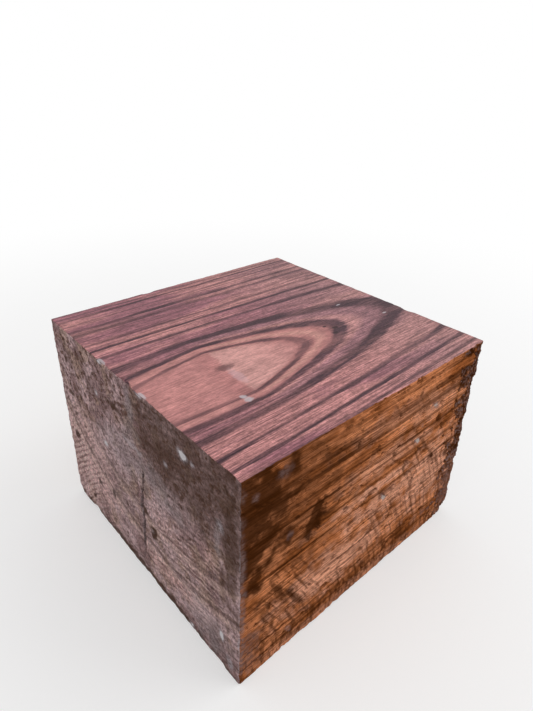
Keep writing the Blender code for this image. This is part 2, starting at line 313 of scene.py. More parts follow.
SAWN = [
    Mark("front", -36, 24, 34, 26, -30, 1.00),
    Mark("front", 26, 24, 50, 56, -15, 0.70),
    Mark("front", -4, 10, 18, 60, 0, 0.80),
    Mark("front", 4, 24, 16, 8, -30, 0.80),
    Mark("front", 20, 38, 26, 12, -30, 0.90),
    Mark("near_end", 40, 20, 46, 34, 0, 1.00),
    Mark("near_end", -24, 20, 40, 40, 0, 0.70),
]

# The marks by paint: dark dirt, partly painted shade, pale wax, which on the front's crust also takes a
# painted highlight, a light blush on the wood, and where the teeth's marks show most.
PAINTS = {"dirt_and_shade": STAINS_AND_SHADE, "wax_and_highlight": WAX, "blush": BLUSH, "sawn": SAWN}

# The knot, a pale smear, dark pits and white flecks on the top: the place along X and Y, and the length
# and width.
KNOT_SPOT = (-25.4, -10.4, 7.0, 3.4)
SMEAR_SPOT = (-25.2, -16.0, 3.4, 9.0)
TOP_PITS = [(18.8, -12.8, 2.6, 1.6), (16.0, -15.4, 2.2, 1.4), (16.3, -10.2, 1.8, 1.2)]
TOP_FLECKS = [
    (-30.7, -25.0, 2.2, 1.8),
    (-30.3, -26.9, 2.9, 2.2),
    (33.3, -1.2, 2.2, 0.8),
    (41.3, -15.7, 2.0, 0.8),
    (-50.8, 14.6, 1.5, 4.6),
    (-50.9, -8.2, 1.5, 4.4),
]

# The wax skin along the front's far edge: where it starts, and how ragged its border is.
CRUST_START = 41.6
CRUST_RAGGED = 4.0

# How deep the saw, the drying and torn fibres have cut the sides, how wide the saw's grooves are, and
# how thick the wax skin is.
MEAN_CUT = 0.02
WAVE_DEPTH = 0.10
COARSE_GROOVE_DEPTH = 0.12
COARSE_GROOVE_WIDTH = 0.7
FINE_GROOVE_DEPTH = 0.07
FINE_GROOVE_WIDTH = 0.5
END_GRAIN_DEPTH = 0.11
FIBRE_DEPTH = 0.06
FUZZ_DEPTH = 0.05
TEAR_DEPTH = 0.35
CRUST_LUMP_DEPTH = 0.45
CRUST_THICKNESS = 0.1

# The radius at which an angle round the blade's centre becomes a length.
BLADE_RADIUS = 150.0

# Colours of the planed top.
MAUVE_HEART = (0.345, 0.140, 0.166, 1)
SALMON_HEART = (0.56, 0.250, 0.242, 1)
TAN_HEART = (0.43, 0.243, 0.230, 1)
SALMON_CORE = (0.585, 0.256, 0.240, 1)
RED_BEFORE_FOLD = (0.47, 0.190, 0.182, 1)
PALE_PAST_FOLD = (0.70, 0.360, 0.330, 1)
RING_ON_TOP = (0.070, 0.032, 0.042, 1)
SEAM_ON_TOP = (0.090, 0.042, 0.052, 1)
PORE_ON_TOP = (0.09, 0.040, 0.045, 1)
KNOT = (0.15, 0.070, 0.070, 1)
SMEAR = (0.66, 0.42, 0.46, 1)
PIT = (0.040, 0.018, 0.020, 1)
WHITE_FLECK = (0.60, 0.53, 0.56, 1)

# Colours of the waxed long sides.
BROWN_SIDE = (0.41, 0.126, 0.038, 1)
ORANGE_SIDE = (0.80, 0.298, 0.130, 1)
BLUSH_ON_SIDE = (1.0, 0.480, 0.310, 1)
RING_ON_SIDE = (0.066, 0.018, 0.004, 1)
SCORE_ON_SIDE = (0.085, 0.024, 0.006, 1)
TICK_ON_SIDE = (0.062, 0.017, 0.004, 1)
FLECK_ON_SIDE = (0.085, 0.024, 0.008, 1)
# Dirt, and painted shade in the tear-outs, the coarse grooves, the crust's hollows and the front's upper
# left.
DIRT_AND_SHADE_ON_SIDE = (0.052, 0.014, 0.003, 1)
# Wax, and a painted highlight on the raised lumps of the front's crust.
WAX_AND_HIGHLIGHT_ON_SIDE = (0.32, 0.215, 0.205, 1)
CLOT_ON_SIDE = (0.66, 0.56, 0.51, 1)

# Colours of the waxed ends.
DULL_END = (0.30, 0.182, 0.180, 1)
MAUVE_END = (0.61, 0.420, 0.424, 1)
TAN_END = (0.42, 0.275, 0.215, 1)
SHADED_END = (0.118, 0.066, 0.050, 1)
BLUSH_ON_END = (0.80, 0.495, 0.470, 1)
BLOTCH_ON_END = (0.115, 0.052, 0.036, 1)
# Painted shade in the troughs of the teeth's arcs, and a painted highlight on their crests.
SHADE_IN_TROUGHS = (0.130, 0.068, 0.054, 1)
HIGHLIGHT_ON_CRESTS = (0.74, 0.54, 0.49, 1)
RING_ON_END = (0.090, 0.048, 0.042, 1)
ARC_ON_END = (0.120, 0.066, 0.056, 1)
PALE_BY_ARC = (0.72, 0.50, 0.44, 1)
# Dirt, and painted shade high on the near end by the front.
DIRT_AND_SHADE_ON_END = (0.066, 0.028, 0.014, 1)
WAX_ON_END = (0.50, 0.44, 0.47, 1)
CLOT_ON_END = (0.78, 0.74, 0.76, 1)

# How rough and how glossy each finish is, and how deep its fine relief, in metres. The long sides'
# roughness follows their patches of colour from the first value to the second.
PLANED_ROUGHNESS = 0.55
PLANED_SPECULAR = 0.18
PLANED_RELIEF = 0.00008
SIDE_ROUGHNESS = (0.62, 0.45)
SIDE_SPECULAR = 0.0
SIDE_RELIEF = 0.0004
END_ROUGHNESS = 0.6
END_SPECULAR = 0.04
END_RELIEF = 0.0006


def aim_camera():
    camera = bpy.data.cameras.new("camera")
    camera.sensor_width = SENSOR
    camera.lens = CAMERA_LENS
    holder = bpy.data.objects.new("camera", camera)
    bpy.context.scene.collection.objects.link(holder)
    ahead = Vector(
        (
            sin(CAMERA_AZIMUTH) * cos(CAMERA_DIP),
            cos(CAMERA_AZIMUTH) * cos(CAMERA_DIP),
            -sin(CAMERA_DIP),
        )
    )
    level = ahead.to_track_quat("-Z", "Y")
    holder.rotation_mode = "QUATERNION"
    holder.rotation_quaternion = level @ Quaternion((0, 0, 1), CAMERA_ROLL)
    holder.location = CAMERA_PLACE
    bpy.context.scene.camera = holder


def select_where(block, kind, test):
    """In edit mode, selects only the edges or faces that pass the test."""
    bpy.ops.mesh.select_all(action="DESELECT")
    bpy.ops.mesh.select_mode(type=kind)
    mesh = bmesh.from_edit_mesh(block.data)
    for element in mesh.edges if kind == "EDGE" else mesh.faces:
        if test(element):
            element.select_set(True)
    bmesh.update_edit_mesh(block.data)


def cut_rings(block, axis):
    """Rings of cuts right round the block, square to one axis and about a grid pitch apart."""
    length = (HIGH - LOW)[axis] - 2 * EASED_EDGE

    def runs_along(edge):
        run = edge.verts[1].co - edge.verts[0].co
        return abs(run[axis]) > NEARLY * length

    select_where(block, "EDGE", runs_along)
    bpy.ops.mesh.subdivide(number_cuts=round(length / GRID_PITCH) - 1)


def is_above_base(face):
    return face.normal.z > -NEARLY


def is_on_seen_side(face):
    """On the near end or the front, or on an edge of theirs."""
    middle = face.calc_center_median()
    return middle.x < LOW.x + EASED_EDGE or middle.y < LOW.y + EASED_EDGE


def square_block():
    """A box with eased edges and a grid of faces, finest on the two sides that show most."""
    bpy.ops.object.select_all(action="DESELECT")
    bpy.ops.mesh.primitive_cube_add(size=1, location=(LOW + HIGH) / 2)
    block = bpy.context.object
    block.name = "sawn_block"
    block.data.name = "sawn_block"
    block.scale = HIGH - LOW
    bpy.ops.object.transform_apply(location=True, rotation=True, scale=True)
    bpy.ops.object.mode_set(mode="EDIT")
    bpy.ops.mesh.select_all(action="SELECT")
    bpy.ops.mesh.bevel(
        offset=EASED_EDGE, segments=EDGE_SEGMENTS, affect="EDGES", clamp_overlap=False
    )
    for axis in range(3):
        cut_rings(block, axis)
    for finer in (is_above_base, is_on_seen_side):
        select_where(block, "FACE", finer)
        bpy.ops.mesh.subdivide(number_cuts=1, ngon=False)
    bpy.ops.object.mode_set(mode="OBJECT")
    return block


def flat_side(solid, axis, sign):
    """The plane of one of the solid's six sides: the way its widest face faces, and how far out."""
    facing = [face for face in solid.data.polygons if face.normal[axis] * sign > FLAT_ENOUGH]
    widest = max(facing, key=lambda face: face.area)
    return widest.normal, widest.normal.dot(widest.center)


def lean_sides(block):
    """Moves the box's corners to where the solid's flat sides meet, and everything between along."""
    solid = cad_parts["turning_blank"]
    sides = [[flat_side(solid, axis, sign) for sign in (-1, 1)] for axis in range(3)]
    points = read_vectors(block.data, "co")
    shares = (points - np.array(LOW)) / np.array(HIGH - LOW)
    moved = np.zeros_like(points)
    for ends in product((0, 1), repeat=3):
        meeting = [sides[axis][end] for axis, end in enumerate(ends)]
        corner = np.linalg.solve([normal for normal, _ in meeting], [out for _, out in meeting])
        weights = np.prod(np.where(ends, shares, 1 - shares), axis=1)
        moved += weights[:, None] * corner
    block.data.vertices.foreach_set("co", moved.ravel())
    block.data.update()


def lay_on_solid(block):
    """Brings each point straight in to the solid, which has the broken corners, chips, pits and checks."""
    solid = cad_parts["turning_blank"]
    tree = BVHTree.FromObject(solid, bpy.context.evaluated_depsgraph_get())
    mesh = block.data
    laid = []
    for point, outward in zip(read_vectors(mesh, "co"), read_vectors(mesh, "normal")):
        hit = tree.ray_cast(point + outward * STAND_OFF, -outward)[0]
        laid.append(tree.find_nearest(point)[0] if hit is None else hit)
    mesh.vertices.foreach_set("co", np.array(laid).ravel())
    mesh.update()


def read_vectors(mesh, what):
    """The place or the normal of every point, one to a row."""
    values = np.empty(len(mesh.vertices) * 3)
    mesh.vertices.foreach_get(what, values)
    return values.reshape(-1, 3)


def grains(points, sizes, octaves=3, seed=0.0):
    """Smooth noise, mostly from -1 to 1, with grains of these sizes along X, Y and Z."""
    spread = 1.9
    places = points / np.array(sizes) + seed
    return np.array([spread * noise.fractal(place, 1.0, 2.0, octaves) for place in places.tolist()])


def eased(value, low, high):
    """From 0 to 1 in a smooth step as the value goes from low to high."""
    share = np.clip((value - low) / (high - low), 0, 1)
    return share * share * (3 - 2 * share)


def saw_grooves(along, up, saw, spacing, width, wander):
    """How deep, from 0 to 1, each point lies in the grooves that the blade's teeth left as arcs."""
    turns = (np.hypot(along - saw.along, up - saw.up) + wander) / spacing
    from_groove = np.abs(turns - np.round(turns)) * spacing
    return np.exp(-((from_groove / width) ** 2))


def brushed(marks, name, along, up, ragged):
    """The strongest mark at each point of a side, from 0 to 1, with ragged outlines."""
    strongest = np.zeros(len(along))
    for mark in marks:
        if mark.side != name:
            continue
        turn = radians(mark.turned)
        lengthways = (along - mark.along) * sin(turn) + (up - mark.up) * cos(turn)
        sideways = (along - mark.along) * cos(turn) - (up - mark.up) * sin(turn)
        reach = np.hypot(lengthways / (mark.length / 2), sideways / (mark.width / 2))
        strength = mark.strength * (1 - eased(reach + 0.35 * ragged, 0.35, 1.35))
        strongest = np.maximum(strongest, strength)
    return strongest


def side_relief(name, points):
    """How far each point of a side is cut in, in millimetres, and its paints, from 0 to 1."""
    side = SIDES[name]
    saw = SAWS[name]
    along = points[:, side.across]
    up = points[:, 2]
    ragged = grains(points, (4.0, 4.0, 4.0), 4, 3.3)
    waves = grains(points, (21.0, 21.0, 21.0), 2, 7.1)
    strays = 1.2 * waves + 0.3 * ragged
    coarse = saw_grooves(along, up, saw, saw.coarse, COARSE_GROOVE_WIDTH, strays)
    fine = saw_grooves(along, up, saw, saw.fine, FINE_GROOVE_WIDTH, 0.5 * ragged)
    patchy = eased(grains(points, (12.0, 12.0, 12.0), 2, 1.7), -0.3, 0.6)
    cut = MEAN_CUT + WAVE_DEPTH * waves + COARSE_GROOVE_DEPTH * coarse * patchy + FINE_GROOVE_DEPTH * fine
    paints = {paint: brushed(marks, name, along, up, ragged) for paint, marks in PAINTS.items()}
    paints["sawn"] = np.maximum(paints["sawn"], 0.35 * patchy)
    if side.axis == 0:
        cut += END_GRAIN_DEPTH * grains(points, (2.4, 2.4, 2.4), 4, 5.9)
    else:
        cut += FIBRE_DEPTH * grains(points, (14.0, 0.9, 0.9), 3, 2.9)
        cut += FUZZ_DEPTH * grains(points, (1.6, 1.6, 1.6), 3, 9.7)
        torn = eased(grains(points, (3.2, 1.8, 1.8), 3, 4.1), 0.65, 1.0)
        cut += TEAR_DEPTH * torn
        # Painted shade: the tear-outs, and the coarse grooves where the teeth's marks show, are darkened
        # with the dirt.
        paints["dirt_and_shade"] = np.maximum(paints["dirt_and_shade"], 0.5 * torn)
        paints["dirt_and_shade"] = np.maximum(paints["dirt_and_shade"], 0.55 * coarse * paints["sawn"])
    if name == "front":
        cut += lay_crust(points, ragged, paints)
    return cut, paints


def lay_crust(points, ragged, paints):
    """The lumpy wax skin at the front's far edge: how far it stands in, and its dirt and wax, with painted
    shade in its hollows and a painted highlight on its raised lumps.
    """
    crust = eased(points[:, 0] + CRUST_RAGGED * ragged, CRUST_START, CRUST_START + 1.5)
    lumps = np.abs(grains(points, (2.2, 2.2, 3.4), 4, 6.3))
    specks = eased(grains(points, (1.3, 1.3, 1.3), 3, 8.8), 0.45, 0.75)
    # Pale wax where the lumps stand out, partly a painted highlight.
    smears_and_highlights = 0.5 * eased(lumps, 0.30, 0.05)
    paints["wax_and_highlight"] = np.maximum(paints["wax_and_highlight"], crust * np.maximum(smears_and_highlights, 0.75 * specks))
    # Darker the deeper the hollows between the lumps, partly painted shade.
    fouled_and_shaded = 0.30 + 0.30 * eased(points[:, 2], 15, 35) + 0.35 * eased(lumps, 0.15, 0.6)
    paints["dirt_and_shade"] = np.maximum(paints["dirt_and_shade"], crust * fouled_and_shaded)
    return crust * (CRUST_LUMP_DEPTH * lumps - CRUST_THICKNESS)


def roughen(block):
    """Cuts the saw marks, tears and wax lumps into the sides, and notes where each paint lies."""
    mesh = block.data
    points = read_vectors(mesh, "co") / MM
    facing = read_vectors(mesh, "normal")
    moved = points.copy()
    coats = {paint: np.zeros(len(points)) for paint in PAINTS}
    for name, side in SIDES.items():
        share = eased(facing[:, side.axis] * side.sign, 0.25, 0.85)
        near = share > 0
        cut, paints = side_relief(name, points[near])
        moved[near, side.axis] -= side.sign * share[near] * cut
        for paint, strength in paints.items():
            coats[paint][near] = np.maximum(coats[paint][near], share[near] * strength)
    moved = np.clip(moved * MM, np.array(LOW), np.array(HIGH))
    mesh.vertices.foreach_set("co", moved.ravel())
    for paint, strength in coats.items():
        layer = mesh.attributes.new(paint, "FLOAT", "POINT")
        layer.data.foreach_set("value", strength.astype(np.float32))
    mesh.update()


class Recipe:
    """Adds nodes to one node tree, and joins each to a number, a colour or another node's socket."""

    def __init__(self, tree):
        self.tree = tree

    def give(self, socket, value):
        if isinstance(value, bpy.types.NodeSocket):
            self.tree.links.new(value, socket)
        else:
            socket.default_value = value

    def node(self, kind, inputs=(), **settings):
        made = self.tree.nodes.new(kind)
        for name, value in settings.items():
            setattr(made, name, value)
        for name, value in dict(inputs).items():
            self.give(made.inputs[name], value)
        return made

    def maths(self, operation, *values):
        made = self.node("ShaderNodeMath", operation=operation)
        for socket, value in zip(made.inputs, values):
            self.give(socket, value)
        return made.outputs[0]

    def total(self, first, *others):
        for other in others:
            first = self.maths("ADD", first, other)
        return first

    def times(self, first, *others):
        for other in others:
            first = self.maths("MULTIPLY", first, other)
        return first

    def step(self, value, low, high, start=0.0, end=1.0):
        """From start to end in a smooth step as the value goes from low to high."""
        names = {"Value": value, "From Min": low, "From Max": high, "To Min": start, "To Max": end}
        return self.node("ShaderNodeMapRange", names, interpolation_type="SMOOTHSTEP").outputs[0]

    def vector(self, x, y, z):
        return self.node("ShaderNodeCombineXYZ", {"X": x, "Y": y, "Z": z}).outputs[0]

    def length(self, x, y):
        made = self.node("ShaderNodeVectorMath", operation="LENGTH")
        self.give(made.inputs[0], self.vector(x, y, 0.0))
        return made.outputs["Value"]

    def axes(self, vector):
        return self.node("ShaderNodeSeparateXYZ", {"Vector": vector}).outputs

    def place(self):
        """Where the point is on the object, in millimetres."""
        coordinates = self.node("ShaderNodeTexCoord").outputs["Object"]
        scaled = self.node("ShaderNodeVectorMath", operation="SCALE")
        self.give(scaled.inputs[0], coordinates)
        self.give(scaled.inputs["Scale"], 1 / MM)
        return scaled.outputs[0]

    def noise(self, vector, sizes, detail=3.0, roughness=0.5):
        """Noise from 0 to 1 with grains of these sizes."""
        mapping = self.node("ShaderNodeMapping", {"Vector": vector})
        mapping.inputs["Scale"].default_value = [1 / size for size in sizes]
        settings = {"Scale": 1.0, "Detail": detail, "Roughness": roughness}
        made = self.node("ShaderNodeTexNoise", {"Vector": mapping.outputs[0], **settings})
        return made.outputs[0]

    def ramp(self, value, stops):
        """A colour or a grey for each value from 0 to 1."""
        made = self.node("ShaderNodeValToRGB", {"Fac": value})
        elements = made.color_ramp.elements
        elements[0].color = stops[0][1]
        elements[-1].color = stops[-1][1]
        for position, colour in stops:
            elements.new(position).color = colour
        return made.outputs[0]

    def mix(self, share, first, second, blend="MIX"):
        made = self.node("ShaderNodeMix", data_type="RGBA", blend_type=blend)
        self.give(made.inputs[0], share)
        self.give(made.inputs[6], first)
        self.give(made.inputs[7], second)
        return made.outputs[2]

    def shaded(self, colour, value, depth):
        """The colour, darker by a depth where a noise is low and lighter by as much where it is high."""
        share = self.step(value, 0.28, 0.72, 1 - depth, 1 + depth)
        return self.mix(1.0, colour, self.vector(share, share, share), "MULTIPLY")

    def attribute(self, name):
        return self.node("ShaderNodeAttribute", attribute_name=name).outputs["Fac"]

    def group(self, tree):
        made = self.node("ShaderNodeGroup")
        made.node_tree = tree
        return made.outputs


def grey(value):
    return (value, value, value, 1.0)


def ring_darkness(recipe, radius):
    """The sum of a few ramps, each with a few rings, because a ramp holds only 32 stops."""
    darkness = 0.0
    outline = ((-1.0, 0.0), (-RING_CORE, 1.0), (RING_CORE, 1.0), (1.0, 0.0))
    for start in range(0, len(RINGS), RINGS_IN_A_RAMP):
        rings = RINGS[start : start + RINGS_IN_A_RAMP]
        low = rings[0].radius - 2
        high = rings[-1].radius + 2
        stops = []
        for ring in rings:
            for across, dark in outline:
                place = ring.radius + across * ring.half_width
                stops.append(((place - low) / (high - low), grey(dark * ring.darkness)))
        share = recipe.node("ShaderNodeMapRange", {"Value": radius, "From Min": low, "From Max": high})
        darkness = recipe.maths("ADD", recipe.ramp(share.outputs[0], stops), darkness)
    return darkness


def rosewood_figure():
    """The growth rings and fibres of the whole block, as a node group that every face's finish reads."""
    tree = bpy.data.node_groups.new("rosewood figure", "ShaderNodeTree")
    recipe = Recipe(tree)
    place = recipe.place()
    x, y, z = recipe.axes(place)
    pith_y = recipe.maths("MULTIPLY_ADD", x, PITH_DRIFT, PITH_Y)
    sideways = recipe.maths("SUBTRACT", y, pith_y)
    below = recipe.maths("SUBTRACT", PITH_Z, z)
    plain_radius = recipe.length(sideways, below)
    from_core = recipe.maths("DIVIDE", recipe.maths("SUBTRACT", plain_radius, CORE_RADIUS), BEND_REACH)
    near_core = recipe.maths("EXPONENT", recipe.times(from_core, from_core, -1.0))
    from_fold = recipe.maths("SUBTRACT", x, FOLD_X)
    rise = recipe.times(recipe.length(from_fold, FOLD_ROUNDING), BEND_RISE)
    before_fold = recipe.maths("MAXIMUM", recipe.times(from_fold, -1.0), 0.0)
    kink = recipe.times(before_fold, sideways, BEND_KINK)
    bend = recipe.times(recipe.total(rise, recipe.times(from_fold, BEND_SKEW), kink), near_core)
    tilt = recipe.times(from_fold, recipe.step(plain_radius, TILT_END, TILT_START), TILT_RISE)
    squared = recipe.total(recipe.times(plain_radius, plain_radius), bend, tilt)
    radius = recipe.maths("SQRT", squared)

    drift = recipe.noise(place, (60.0, 14.0, 14.0), 2.0)
    fibre_place = recipe.vector(x, radius, recipe.times(sideways, 0.25))
    fibres = recipe.noise(fibre_place, (16.0, 0.55, 2.0), 4.0, 0.62)
    loose = recipe.step(radius, 33.0, 54.0, 0.45, 1.15)
    wander = recipe.times(recipe.maths("SUBTRACT", drift, 0.5), loose)
    threads = recipe.noise(place, (14.0, 0.42, 0.42), 3.0, 0.6)
    bands = recipe.noise(place, (42.0, 1.1, 1.1), 2.0)
    seams = recipe.maths("ABSOLUTE", recipe.maths("SUBTRACT", bands, 0.5))
    fray = recipe.times(recipe.maths("SUBTRACT", fibres, 0.5), loose, 1.3)
    fuzz = recipe.times(recipe.maths("SUBTRACT", threads, 0.5), loose, 0.9)
    ringed = recipe.total(radius, wander, fray, fuzz)
    heavy = recipe.step(recipe.noise(place, (24.0, 4.0, 4.0), 3.0), 0.35, 0.62, 0.74, 1.12)
    streaky = recipe.times(recipe.step(fibres, 0.25, 0.7, 0.72, 1.12), heavy)
    pores = recipe.noise(place, (3.2, 0.26, 0.26), 2.0, 0.5)
    outputs = {
        "Rings": recipe.times(ring_darkness(recipe, ringed), streaky),
        "Radius": ringed,
        "Fibres": fibres,
        "Threads": threads,
        "Seams": recipe.step(seams, 0.045, 0.012),
        "Pores": recipe.step(pores, 0.60, 0.72),
    }
    end = recipe.node("NodeGroupOutput")
    for name, socket in outputs.items():
        tree.interface.new_socket(name=name, in_out="OUTPUT", socket_type="NodeSocketFloat")
        recipe.give(end.inputs[name], socket)
    return tree


def new_finish(name):
    """A material with an empty recipe, and its shader."""
    material = bpy.data.materials.new(name)
    material.use_nodes = True
    recipe = Recipe(material.node_tree)
    return material, recipe, material.node_tree.nodes["Principled BSDF"]


def add_relief(recipe, shader, height, depth):
    """Fine relief, its height from 0 to 1 over a depth in metres."""
    bump = recipe.node("ShaderNodeBump", {"Height": height, "Distance": depth})
    recipe.give(shader.inputs["Normal"], bump.outputs[0])


def spot(recipe, place, along, across, length, width):
    """A soft-edged spot on the top, from 0 to 1, its length along X."""
    x, y, _ = recipe.axes(place)
    ragged = recipe.noise(place, (1.2, 1.2, 1.2), 2.0)
    from_along = recipe.maths("DIVIDE", recipe.maths("SUBTRACT", x, along), length / 2)
    from_across = recipe.maths("DIVIDE", recipe.maths("SUBTRACT", y, across), width / 2)
    reach = recipe.total(recipe.length(from_along, from_across), recipe.times(ragged, 0.9))
    return recipe.step(reach, 1.6, 1.0)


def planed_base(recipe, place, wood, inner):
    """Salmon wood by the pith, palest just past the fold, and mauve wood further out."""
    x, y, _ = recipe.axes(place)
    cloud = recipe.noise(place, (40.0, 7.0, 7.0), 3.0)
    far_corner = recipe.times(recipe.step(y, 15.0, 40.0), recipe.step(x, 10.0, -30.0), -0.07)
    tint = recipe.total(cloud, far_corner, recipe.step(y, -20.0, -34.0, 0.0, 0.12))
    base = recipe.mix(recipe.step(tint, 0.40, 0.60), MAUVE_HEART, SALMON_HEART)
    base = recipe.mix(recipe.step(x, -10.0, 45.0, 0.0, 0.5), base, TAN_HEART)
    base = recipe.mix(recipe.times(inner, 0.9), base, SALMON_CORE)
    torn_x = recipe.maths("MULTIPLY_ADD", recipe.noise(place, (2.2, 2.2, 2.2), 3.0), 3.4, x)
    slanted_x = recipe.maths("MULTIPLY_ADD", y, FOLD_SLANT, torn_x)
    fold = recipe.times(recipe.step(slanted_x, -23.4, -21.0), recipe.step(wood["Radius"], 32.5, 32.1))
    before = recipe.times(inner, recipe.step(slanted_x, -31.0, -24.0), 0.45)
    base = recipe.mix(before, base, RED_BEFORE_FOLD)
    fading = recipe.step(x, -22.0, 4.0, 0.97, 0.30)
    base = recipe.mix(recipe.times(fold, fading), base, PALE_PAST_FOLD)
    for tinted, half_width, strength, tone in TINTED_RINGS:
        from_tinted = recipe.maths("ABSOLUTE", recipe.maths("SUBTRACT", wood["Radius"], tinted))
        share = recipe.step(from_tinted, half_width, 0.2 * half_width, 0.0, strength)
        share = recipe.times(share, recipe.step(x, FOLD_X - 3, FOLD_X + 6, 0.25, 1.0))
        base = recipe.mix(share, base, tone)
    mottle = recipe.noise(place, (5.0, 2.2, 2.2), 4.0, 0.6)
    return recipe.shaded(base, mottle, 0.18)


def planed_finish(figure):
    """Bare planed wood with its rings, fibres and open pores, smoothest near the pith."""
    material, recipe, shader = new_finish("planed rosewood")
    place = recipe.place()
    wood = recipe.group(figure)
    inner = recipe.step(wood["Radius"], 34.5, 33.6)
    base = planed_base(recipe, place, wood, inner)
    lines = recipe.mix(recipe.times(wood["Rings"], 0.95), base, RING_ON_TOP)
    seams = recipe.times(wood["Seams"], recipe.maths("MULTIPLY_ADD", inner, -0.35, 0.50))
    lines = recipe.mix(seams, lines, SEAM_ON_TOP)
    rough = recipe.shaded(lines, wood["Fibres"], 0.14)
    rough = recipe.shaded(rough, wood["Threads"], 0.34)
    rough = recipe.shaded(rough, recipe.noise(place, (1.0, 0.45, 0.45), 2.0, 0.6), 0.28)
    rough = recipe.mix(recipe.times(wood["Pores"], 0.5), rough, PORE_ON_TOP)
    colour = recipe.mix(recipe.times(inner, 0.55), rough, lines)
    colour = recipe.mix(recipe.times(spot(recipe, place, *KNOT_SPOT), 0.75), colour, KNOT)
    colour = recipe.mix(recipe.times(spot(recipe, place, *SMEAR_SPOT), 0.45), colour, SMEAR)
    for pit in TOP_PITS:
        colour = recipe.mix(recipe.times(spot(recipe, place, *pit), 0.9), colour, PIT)
    for fleck in TOP_FLECKS:
        colour = recipe.mix(recipe.times(spot(recipe, place, *fleck), 0.8), colour, WHITE_FLECK)
    recipe.give(shader.inputs["Base Color"], colour)
    shader.inputs["Roughness"].default_value = PLANED_ROUGHNESS
    shader.inputs["Specular IOR Level"].default_value = PLANED_SPECULAR
    relief = recipe.maths("SUBTRACT", wood["Threads"], recipe.times(wood["Pores"], 0.8))
    add_relief(recipe, shader, relief, PLANED_RELIEF)
    return material


def soaked(recipe, place, sizes):
    """How much dirt and painted shade shows, from 0 to 1: where it is thin it follows grains of these
    sizes.
    """
    soak = recipe.noise(place, sizes, 4.0, 0.6)
    wet = recipe.maths("MULTIPLY_ADD", soak, 0.45, recipe.attribute("dirt_and_shade"))
    return recipe.step(wet, 0.20, 1.10, 0.0, 0.92)


def under_wax(recipe, fleck, colour, wax_and_highlight, clot):
    """The colour under its wax, partly a painted highlight on the crust, thinner between the flecks, with
    clots where the wax is thickest.
    """
    thickness = recipe.attribute("wax_and_highlight")
    coat = recipe.times(thickness, recipe.step(fleck, 0.35, 0.60, 0.3, 1.0))
    clots = recipe.times(recipe.step(thickness, 0.72, 0.95), 0.9)
    return recipe.mix(clots, recipe.mix(coat, colour, wax_and_highlight), clot)


def blade_place(recipe, place, name):
    """Coordinates that run out from the saw blade's centre, round it, and into the block."""
    side = SIDES[name]
    saw = SAWS[name]
    axes = recipe.axes(place)
    along = recipe.maths("SUBTRACT", axes[side.across], saw.along)
    up = recipe.maths("SUBTRACT", axes[2], saw.up)
    out = recipe.length(along, up)
    turn = recipe.maths("ARCTAN2", up, along)
    return recipe.vector(out, recipe.times(turn, BLADE_RADIUS), axes[side.axis])


def tooth_marks(recipe, place, name):
    """Arcs that the blade's teeth left, uneven in strength, from 0 to 1."""
    saw = SAWS[name]
    blade = blade_place(recipe, place, name)
    out = recipe.axes(blade)[0]
    wobble = recipe.noise(place, (12.0, 12.0, 12.0), 2.0)
    turns = recipe.total(recipe.times(out, 2 * pi / saw.fine), recipe.times(wobble, 9.0))
    wave = recipe.maths("SINE", turns)
    scratches = recipe.noise(blade, (0.45 * saw.fine, 10.0, 10.0), 3.0, 0.6)
    return recipe.maths("MULTIPLY_ADD", wave, 0.15, scratches)


def waxed_side_finish(figure, name):
    """Long grain from the saw under wax, orange brown with dark lines."""
    material, recipe, shader = new_finish(f"waxed rosewood {name}")
    place = recipe.place()
    wood = recipe.group(figure)
    z = recipe.axes(place)[2]
    patch = recipe.noise(place, (16.0, 16.0, 6.0), 4.0, 0.55)
    base = recipe.mix(recipe.step(patch, 0.35, 0.65), BROWN_SIDE, ORANGE_SIDE)
    base = recipe.mix(recipe.attribute("blush"), base, BLUSH_ON_SIDE)
    lines = recipe.mix(recipe.times(wood["Rings"], 0.84), base, RING_ON_SIDE)
    lines = recipe.mix(recipe.times(wood["Seams"], 0.55), lines, SCORE_ON_SIDE)
    colour = recipe.shaded(lines, wood["Fibres"], 0.18)
    colour = recipe.shaded(colour, wood["Threads"], 0.38)
    marks = tooth_marks(recipe, place, name)
    scored = recipe.times(recipe.step(marks, 0.54, 0.70), recipe.attribute("sawn"), 0.62)
    colour = recipe.mix(scored, colour, SCORE_ON_SIDE)
    ticks = recipe.step(recipe.noise(place, (1.4, 1.4, 6.0), 3.0, 0.6), 0.48, 0.60)
    low_down = recipe.step(z, 13.0, 6.0)
    colour = recipe.mix(recipe.times(ticks, low_down, 0.62), colour, TICK_ON_SIDE)
    fleck = recipe.noise(place, (1.3, 1.3, 0.9), 3.0, 0.6)
    colour = recipe.mix(recipe.step(fleck, 0.58, 0.71, 0.0, 0.66), colour, FLECK_ON_SIDE)
    # Dirt, and painted shade in the tear-outs, the coarse grooves, the crust's hollows and the front's
    # upper left.
    colour = recipe.mix(soaked(recipe, place, (6.0, 1.3, 1.3)), colour, DIRT_AND_SHADE_ON_SIDE)
    colour = under_wax(recipe, fleck, colour, WAX_AND_HIGHLIGHT_ON_SIDE, CLOT_ON_SIDE)
    recipe.give(shader.inputs["Base Color"], colour)
    recipe.give(shader.inputs["Roughness"], recipe.step(patch, 0.3, 0.7, *SIDE_ROUGHNESS))
    shader.inputs["Specular IOR Level"].default_value = SIDE_SPECULAR
    relief = recipe.total(wood["Threads"], recipe.times(fleck, 0.6), recipe.times(marks, 0.5))
    add_relief(recipe, shader, relief, SIDE_RELIEF)
    return material


